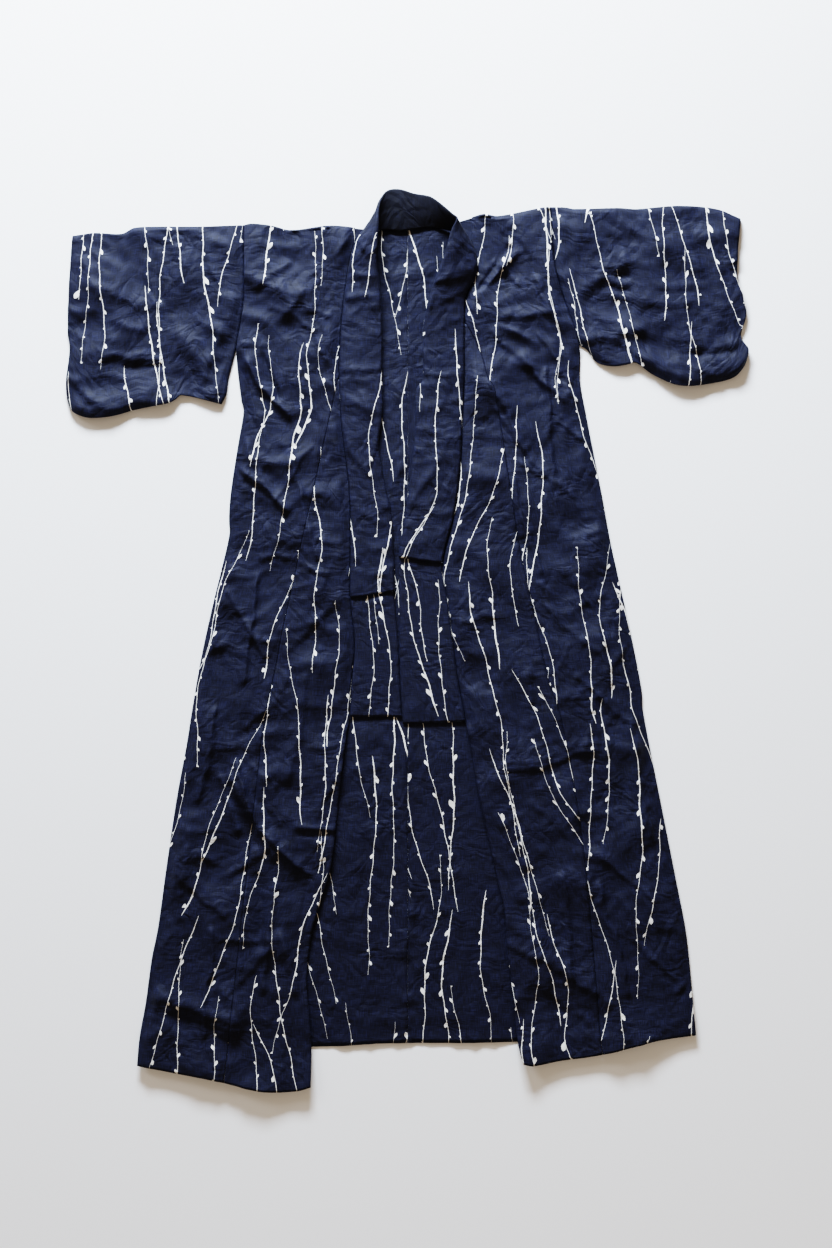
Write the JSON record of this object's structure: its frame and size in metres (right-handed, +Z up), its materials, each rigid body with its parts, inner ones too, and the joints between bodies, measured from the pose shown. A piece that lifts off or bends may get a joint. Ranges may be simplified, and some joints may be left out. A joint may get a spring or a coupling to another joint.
{
  "type": "cotton yukata robe",
  "caption": "Cotton robe laid flat with its front up and open: wide sleeves, long body lengths, tapered overlap panels and a long collar band with its cover.",
  "frame": {"origin": "centre of the robe's outline at the floor", "axes": "+Y from the hem to the collar, +Z up off the floor through the layers, +X to the right as the picture shows it, which is the wearer's left"},
  "size_m": [1.238, 1.6349, 0.036],
  "materials": {
    "body_left": "plain-weave cotton, navy with a white print",
    "body_right": "plain-weave cotton, navy with a white print",
    "overlap_left": "plain-weave cotton, navy with a white print",
    "overlap_right": "plain-weave cotton, navy with a white print",
    "sleeve_left": "plain-weave cotton, navy with a white print",
    "sleeve_right": "plain-weave cotton, navy with a white print",
    "collar": "plain-weave cotton, navy with a white print",
    "collar_cover": "plain-weave cotton, navy with a white print"
  },
  "bodies": {
    "root": {"body_left": "body_left", "body_right": "body_right", "overlap_left": "overlap_left", "overlap_right": "overlap_right", "sleeve_left": "sleeve_left", "sleeve_right": "sleeve_right", "collar": "collar", "collar_cover": "collar_cover"}
  },
  "joints": []
}
